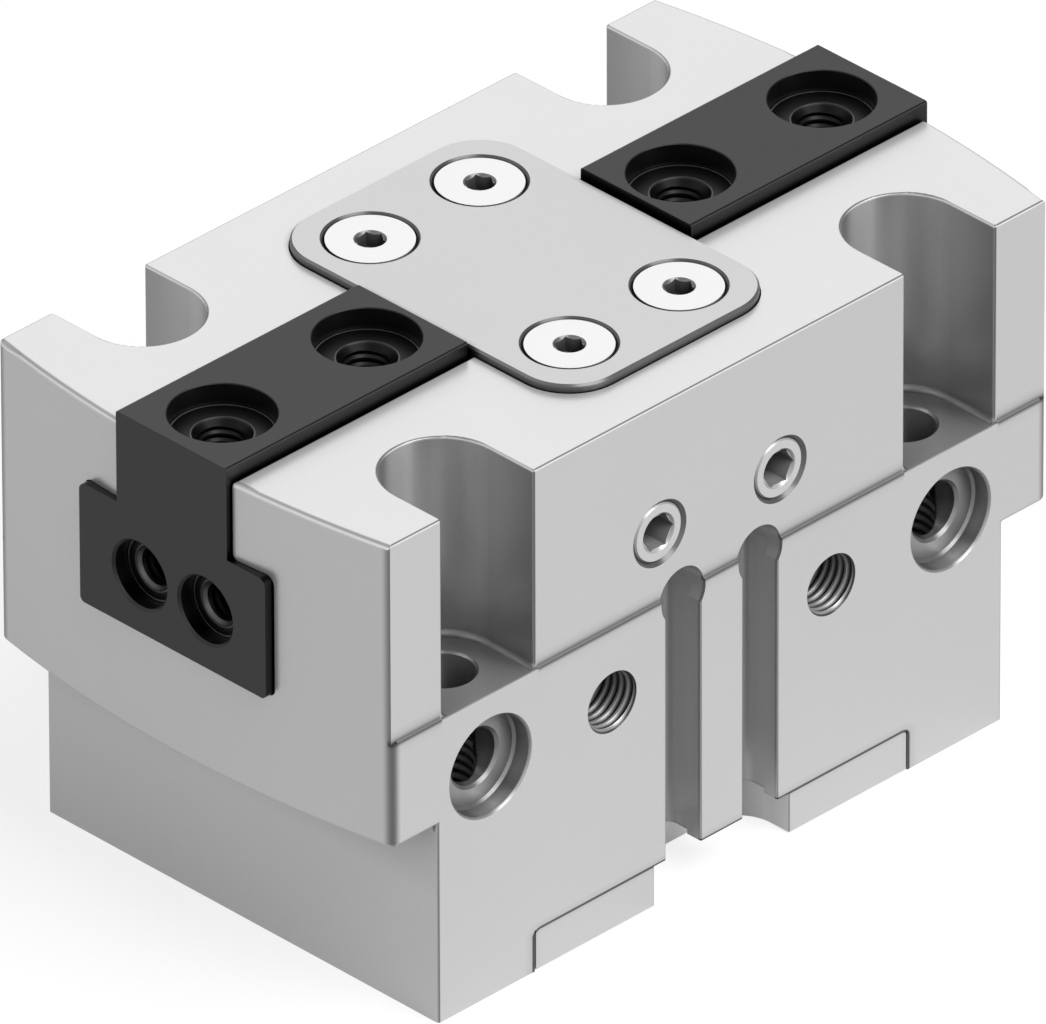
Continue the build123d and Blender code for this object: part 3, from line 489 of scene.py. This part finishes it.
def slot_zone(tree, x, y, z):
    return product(tree, below(tree, away(tree, x, SLOT_X), SLOT_HALF), smooth(tree, y, *SLOT_MOUTH),
                   smooth(tree, z, *SLOT_BASE), smooth(tree, z, *SLOT_TOP))


def seam_shade(tree, zone, z):
    """Painted shade: a soft dark line where the narrower upper block meets the foot."""
    height = calculate(tree, "DIVIDE", calculate(tree, "SUBTRACT", z, SEAM_Z - SEAM_DROP), SEAM_SPAN)
    return blend(tree, zone, 1.0, curve(tree, height, SEAM_SHADE))


def corner_zone(tree, beyond_x, beyond_y, z, facing_y, facing_z):
    """Where painted shade goes on the housing's upright corners, without the side faces of the narrower upper
    block.
    """
    turned = smooth(tree, magnitude(tree, facing_y), *CORNER_TURNED)
    rounded = calculate(tree, "MAXIMUM", turned, smooth(tree, z, *CORNER_BELOW))
    upright = smooth(tree, magnitude(tree, facing_z), *CORNER_UPRIGHT)
    return product(tree, above(tree, beyond_x, 0.0, CORNER_BLUR), above(tree, beyond_y, 0.0, CORNER_BLUR),
                   rounded, upright)


def corner_shade(tree, zone, beyond_x, beyond_y):
    """Painted shade by the angle round the corner, from 0 on the end face to 1 on the side face."""
    turn = calculate(tree, "DIVIDE", calculate(tree, "ARCTAN2", beyond_y, beyond_x), math.pi / 2)
    return blend(tree, zone, 1.0, curve(tree, turn, CORNER_SHADE))


def cap_shade(tree, x, y, z):
    """Painted shade of the gap round the front edge of the bottom cap: a fine dark line with rounded corners.
    """
    over_x = calculate(tree, "SUBTRACT", x, CAP_HALF - CAP_CORNER)
    over_x = product(tree, over_x, CAP_SIDE_SCALE)
    over_z = calculate(tree, "SUBTRACT", z, CAP_TOP - CAP_CORNER)
    outside = hypotenuse(tree, calculate(tree, "MAXIMUM", over_x, 0.0),
                         calculate(tree, "MAXIMUM", over_z, 0.0))
    inside = calculate(tree, "MINIMUM", calculate(tree, "MAXIMUM", over_x, over_z), 0.0)
    edge = calculate(tree, "SUBTRACT", calculate(tree, "ADD", outside, inside), CAP_CORNER)
    return blend(tree, smooth(tree, y, *CAP_FACE), 1.0, curve(tree, edge, CAP_SHADE))


def hole_shade(tree, x, y, z, facing_y):
    """Painted shade on the chamfers round the plugs and the air ports, and on the seats of the side holes."""
    deep = smooth(tree, y, *HOLE_FACE)
    holes = calculate(tree, "MAXIMUM", near(tree, x, z, PLUG_X, PLUG_Z, PLUG_HALF),
                      near(tree, x, z, PORT_X, PORT_Z, PORT_HALF))
    square = calculate(tree, "POWER", magnitude(tree, facing_y), SQUARE_POWER)
    chamfer = product(tree, holes, calculate(tree, "SUBTRACT", 1.0, square), deep)
    seat = product(tree, near(tree, x, z, MOUNT_X, SIDE_HOLE_Z, SIDE_SEAT_HALF),
                   smooth(tree, y, *SIDE_SEAT_MOUTH), deep)
    return product(tree, blend(tree, seat, 1.0, SIDE_SEAT_SHADE), blend(tree, chamfer, 1.0, CHAMFER_SHADE))


def housing_painted_shade(tree, place, normal, recess):
    """Painted shade of the housing by place, alike on all four quarters.

    Gives the recess for the painted recess shade, the factor of painted shade on the grey and whether the
    painted lines of broken edges are drawn.
    """
    x, y, z = measure(tree, place)
    x = magnitude(tree, x)
    y = magnitude(tree, y)
    facing = split(tree, normal)
    aside = away(tree, x, MOUNT_X)
    beyond_x = calculate(tree, "SUBTRACT", x, CORNER_X)
    beyond_y = calculate(tree, "SUBTRACT", y, CORNER_Y)
    # Painted shade in the sensor slots at one set level in place of their openness
    recess = blend(tree, slot_zone(tree, x, y, z), recess, SLOT_OPENNESS)
    seam = product(tree, smooth(tree, y, *SEAM_FACE),
                   smooth(tree, aside, POCKET_HALF, POCKET_HALF + SEAM_GAP))
    corner = corner_zone(tree, beyond_x, beyond_y, z, facing[1], facing[2])
    share = product(tree, pocket_shade(tree, aside, y, z, facing[2]), seam_shade(tree, seam, z),
                    corner_shade(tree, corner, beyond_x, beyond_y), cap_shade(tree, x, y, z),
                    hole_shade(tree, x, y, z, facing[1]))
    near_seam = product(tree, seam, smooth(tree, away(tree, z, SEAM_LINE_Z), *SEAM_LINE))
    plain = calculate(tree, "SUBTRACT", 1.0, calculate(tree, "MAXIMUM", near_seam, corner))
    return recess, share, plain


def ring(tree, distance, low, high):
    """1 where the distance lies between low and high, 0 elsewhere."""
    return product(tree, above(tree, distance, low, RING_BLUR), below(tree, distance, high, RING_BLUR))


def seat_painted_light(tree, distance, deep, seat, throat, countersink, recess, share):
    """Painted highlight rings round a sleeve seat's floor and round its throat, where the painted recess
    shade is lifted, and a painted factor on the countersink: shade below 1, highlight above 1.
    """
    line = ring(tree, distance, seat - SEAT_RING[0], seat - SEAT_RING[1])
    lip = ring(tree, distance, throat, throat + LIP_WIDTH)
    inner = smooth(tree, distance, throat - COUNTERSINK_EDGE[0], throat - COUNTERSINK_EDGE[1])
    light = product(tree, deep, calculate(tree, "MAXIMUM", line, lip))
    shade = product(tree, blend(tree, line, 1.0, SEAT_LINE), blend(tree, lip, 1.0, SEAT_LIP),
                    blend(tree, inner, 1.0, countersink))
    return blend(tree, light, recess, 1.0), product(tree, blend(tree, deep, 1.0, shade), share)


def jaw_painted_light(tree, place, normal, recess):
    """Painted shade and painted highlight of the jaws by place, for the seats in their top and in their end.
    """
    x, y, z = measure(tree, place)
    x = magnitude(tree, x)
    share = 1.0
    for hole_x in JAW_HOLE_X:
        distance = hypotenuse(tree, calculate(tree, "SUBTRACT", x, hole_x), y)
        deep = product(tree, smooth(tree, z, *[JAW_TOP_Z - depth for depth in JAW_SEAT_DEPTH]),
                       smooth(tree, z, *JAW_HOLE_FLOOR))
        recess, share = seat_painted_light(tree, distance, deep, JAW_SEAT_RADIUS, JAW_THROAT_RADIUS, JAW_COUNTERSINK,
                                   recess, share)
    for side in (-1, 1):
        distance = hypotenuse(tree, calculate(tree, "SUBTRACT", y, side * END_HOLE_Y),
                              calculate(tree, "SUBTRACT", z, END_HOLE_Z))
        deep = product(tree, smooth(tree, x, *[JAW_END_X - depth for depth in END_SEAT_DEPTH]),
                       smooth(tree, x, *END_HOLE_FLOOR))
        recess, share = seat_painted_light(tree, distance, deep, END_SEAT_RADIUS, END_THROAT_RADIUS, END_COUNTERSINK,
                                   recess, share)
    return recess, share, 1.0


def no_painted_light(tree, place, normal, recess):
    return recess, 1.0, 1.0


def metal(name, grey, metallic, roughness, specular=0.35, corner=1.0, rim=PLAIN_RIM, reach=10.0, depth=1.2,
          own=True, painted_wall_shade=1.0, axis=2, painted_light=no_painted_light):
    """Satin metal: fine grain, roughness that wanders, painted shade and highlight lines at broken edges and
    painted shade in recesses.

    Faces that are not square to the axis keep only a given share of the grey as painted shade, and own limits
    the painted recess shade to the piece itself.
    """
    material = bpy.data.materials.new(name)
    tree = nodes_of(material)
    coordinates = node(tree, "ShaderNodeTexCoord")
    place, normal = coordinates.outputs["Object"], coordinates.outputs["Normal"]
    fine = grain_of(tree, place, FINE_NOISE, FINE_DETAIL)
    broad = grain_of(tree, place, BROAD_NOISE, BROAD_DETAIL)
    # The openness, the place and the broken edges all paint shade and highlight into the grey below
    recess, share, plain = painted_light(tree, place, normal, openness(tree, reach, own))
    painted_edges = painted_edge_lines(tree, normal, corner, rim, recess, plain)
    # Painted shade: side faces keep their given share, recesses darken with openness, places take their own
    # share
    square = calculate(tree, "POWER", magnitude(tree, split(tree, normal)[axis]), SQUARE_POWER)
    sides = blend(tree, square, painted_wall_shade, 1.0)
    shade = product(tree, calculate(tree, "POWER", recess, depth), sides, share)
    tone = calculate(tree, "ADD", varied(tree, fine, GRAIN), varied(tree, broad, GRAIN))
    tone = calculate(tree, "ADD", tone, 1.0)
    level = calculate(tree, "MULTIPLY", product(tree, tone, painted_edges, grey), shade, clamp=True)
    rough = calculate(tree, "ADD", varied(tree, broad, ROUGHNESS_WANDER), roughness, clamp=True)
    shader = shader_of(tree, level, metallic, specular, rough)
    bump = node(tree, "ShaderNodeBump")
    bump.inputs["Strength"].default_value = BUMP_STRENGTH
    bump.inputs["Distance"].default_value = BUMP_HEIGHT * MM
    feed(tree, fine, bump.inputs["Height"])
    feed(tree, bump.outputs[0], shader.inputs["Normal"])
    return material


def thread_material(name, root, crest):
    """Cut thread with painted shade: bright along the crest, dark down in the groove, and darker where the
    openness finds the hole's walls.
    """
    material = bpy.data.materials.new(name)
    tree = nodes_of(material)
    height = node(tree, "ShaderNodeAttribute", attribute_name="crest")
    ramp = node(tree, "ShaderNodeMapRange", interpolation_type="SMOOTHSTEP")
    ramp.inputs["To Min"].default_value = root
    ramp.inputs["To Max"].default_value = crest
    feed(tree, height.outputs["Fac"], ramp.inputs["Value"])
    fine = grain_of(tree, node(tree, "ShaderNodeTexCoord").outputs["Object"], THREAD_NOISE)
    grain = product(tree, fine, THREAD_GRAIN)
    tone = calculate(tree, "ADD", grain, THREAD_TONE)
    level = product(tree, ramp.outputs["Result"], tone, openness(tree, THREAD_REACH, False))
    rough = calculate(tree, "ADD", grain, THREAD_ROUGHNESS)
    shader_of(tree, level, THREAD_METALLIC, THREAD_SPECULAR, rough)
    return material


def stand_along(mesh, origin, direction):
    """Turns a mesh made along Z to the direction and moves it to its origin."""
    turn = Vector(direction).to_track_quat("Z", "Y").to_matrix().to_4x4()
    mesh.transform(Matrix.Translation(mm(*origin)) @ turn)


def thread_mesh(name, bore, crest, pitch, start, end):
    """Closed liner along Z with one helical ridge, which fades out at both ends."""
    shape = bmesh.new()
    layer = shape.verts.layers.float.new("crest")
    turns = math.ceil((end - start) / pitch) + 2
    rows = [((turn - 1 + step) * pitch, height) for turn in range(turns) for step, height in THREAD_PROFILE]
    columns = range(THREAD_COLUMNS)
    lead = THREAD_LEAD * pitch

    def vertex(column, radius, along, height=0.0):
        angle = 2 * math.pi * column / THREAD_COLUMNS
        item = shape.verts.new(mm(radius * math.cos(angle), radius * math.sin(angle), along))
        item[layer] = height
        return item

    def band(lower, upper, flip=False):
        for column in columns:
            following = (column + 1) % THREAD_COLUMNS
            quad = [lower[column], lower[following], upper[following], upper[column]]
            shape.faces.new(quad[::-1] if flip else quad)

    grid = []
    for column in columns:
        line = []
        for along, height in rows:
            z = start + along + pitch * column / THREAD_COLUMNS
            z = min(max(z, start), end)
            raised = height * min(1.0, (z - start) / lead, (end - z) / lead)
            line.append(vertex(column, bore - (bore - crest) * raised, z, raised))
        grid.append(line)
    profile = len(THREAD_PROFILE)
    for column in columns:
        following = grid[(column + 1) % THREAD_COLUMNS]
        shift = profile if column == THREAD_COLUMNS - 1 else 0
        for row in range(len(rows) - 1 - profile):
            lower, upper = row + shift, row + 1 + shift
            shape.faces.new((grid[column][row], following[lower], following[upper], grid[column][row + 1]))
    outer = bore + LINER_WALL
    for along, flip in ((start, False), (end, True)):
        inner_ring = [vertex(column, bore, along) for column in columns]
        outer_ring = [vertex(column, outer, along) for column in columns]
        band(inner_ring, outer_ring, flip)
    walls = [[vertex(column, outer, along) for column in columns] for along in (start, end)]
    band(*walls)
    bmesh.ops.remove_doubles(shape, verts=shape.verts, dist=WELD)
    bmesh.ops.dissolve_degenerate(shape, edges=shape.edges, dist=TINY_EDGE)
    bmesh.ops.recalc_face_normals(shape, faces=shape.faces)
    mesh = bpy.data.meshes.new(name)
    shape.to_mesh(mesh)
    shape.free()
    return mesh


def cut_away(item, cutter):
    """Takes the cutter's form out of an object's mesh."""
    modifier = item.modifiers.new("side_hole", "BOOLEAN")
    modifier.operation = "DIFFERENCE"
    modifier.solver = "EXACT"
    modifier.object = cutter
    cut = bpy.data.meshes.new_from_object(item.evaluated_get(bpy.context.evaluated_depsgraph_get()))
    item.modifiers.clear()
    item.data = cut


def thread(name, origin, inward, bore, crest, pitch, start, end, body, material, cutter=None):
    """Thread liner in a hole, from start to end along it, which moves with the body."""
    mesh = thread_mesh(name, bore, crest, pitch, start, end)
    stand_along(mesh, origin, inward)
    item = add_object(name, mesh)
    if cutter is not None:
        cut_away(item, cutter)
    item.data.materials.clear()
    item.data.materials.append(material)
    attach(item, body)


def cylinder_cutter(origin, direction, radius, length):
    shape = bmesh.new()
    bmesh.ops.create_cone(shape, cap_ends=True, segments=THREAD_COLUMNS, radius1=radius * MM,
                          radius2=radius * MM, depth=length * MM)
    bmesh.ops.translate(shape, verts=shape.verts, vec=mm(0, 0, length / 2))
    mesh = bpy.data.meshes.new("cutter")
    shape.to_mesh(mesh)
    shape.free()
    stand_along(mesh, origin, direction)
    return add_object("cutter", mesh)


def mount_thread(sx, side, sy, row, material):
    """Thread of a mounting hole, open where the side hole crosses it; two of the four start at a seat."""
    cutter = cylinder_cutter((sx * MOUNT_X, sy * SIDE_HOLE_END, SIDE_HOLE_Z), (0, sy, 0), SIDE_HOLE_RADIUS,
                             HALF_WIDTH - SIDE_HOLE_END)
    bottom = MOUNT_SEAT if sx == sy else MOUNT_BOTTOM
    thread(f"mount_thread_{side}_{row}", (sx * MOUNT_X, sy * MOUNT_Y, 0), (0, 0, 1), MOUNT_RADIUS,
           MOUNT_CREST, MOUNT_PITCH, bottom, MOUNT_TOP, "housing", material, cutter)
    bpy.data.objects.remove(cutter)


def threads():
    pale = thread_material("cut_thread", 0.02, 0.5)
    dark = thread_material("dark_thread", 0.002, 0.015)
    rows = ((-1, "front"), (1, "back"))
    for sx, side in ((-1, "left"), (1, "right")):
        for sy, row in rows:
            mount_thread(sx, side, sy, row, pale)
        thread(f"port_thread_{side}", (sx * PORT_X, -HALF_WIDTH, PORT_Z), (0, 1, 0), PORT_RADIUS, PORT_CREST,
               PORT_PITCH, PORT_START, PORT_DEPTH, "housing", pale)
        for number, x in enumerate(JAW_HOLE_X):
            thread(f"jaw_thread_{side}_{number}", (sx * x, 0, JAW_TOP_Z), (0, 0, -1), JAW_THREAD_RADIUS,
                   JAW_THREAD_CREST, JAW_THREAD_PITCH, JAW_THREAD_TOP, JAW_THREAD_DEPTH, f"jaw_{side}",
                   dark)
        for sy, row in rows:
            thread(f"jaw_end_thread_{side}_{row}", (sx * JAW_END_X, sy * END_HOLE_Y, END_HOLE_Z), (-sx, 0, 0),
                   END_THREAD_RADIUS, END_THREAD_CREST, END_THREAD_PITCH, END_THREAD_TOP, END_THREAD_DEPTH,
                   f"jaw_{side}", dark)


def finishes():
    """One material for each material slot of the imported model; housing and bottom cap share theirs."""
    # The settings after metallic and roughness set each finish's painted shade and painted highlight
    body = metal("anodised_body", 0.80, 0.6, 0.3, painted_light=housing_painted_shade)
    finish_of = {
        "anodised_body": body,
        "anodised_cap": body,
        "anodised_cover": metal("anodised_cover", 0.66, 0.6, 0.3, corner=0.3, reach=1.5, depth=3.0, own=False,
                                painted_wall_shade=0.35),
        "plated_screws": metal("plated_screws", 0.93, 0.5, 0.3, corner=0.3, reach=3.0, painted_wall_shade=0.35),
        "plated_plugs": metal("plated_plugs", 0.8, 0.3, 0.35, corner=0.0, rim=EVEN_RIM, reach=3.0, painted_wall_shade=0.5,
                              axis=1),
        "blackened_steel": metal("blackened_steel", 0.063, 1.0, 0.38, corner=0.8, reach=4.0, depth=2.0,
                                 own=False, painted_light=jaw_painted_light),
        "hardened_steel": metal("hardened_steel", 0.35, 0.8, 0.3),
        "spring_steel": metal("spring_steel", 0.3, 0.8, 0.35),
        "rubber": metal("rubber", 0.03, 0.0, 0.75),
        "pads": metal("pads", 0.1, 0.0, 0.7),
        "bush": metal("bush", 0.4, 0.8, 0.35),
        "guide_plastic": metal("guide_plastic", 0.12, 0.0, 0.6),
        "piston_metal": metal("piston_metal", 0.55, 0.6, 0.35),
        "magnet": metal("magnet", 0.7, 0.9, 0.2),
    }
    for row in frame["record"]["subparts"]:
        item = frame["nodes"][row["node"]]
        item.data.materials.clear()
        item.data.materials.append(finish_of[row["material_slot"]])


bpy.context.scene.view_settings.view_transform = "Standard"
camera()
sky()
key_light()
ground()
finishes()
threads()
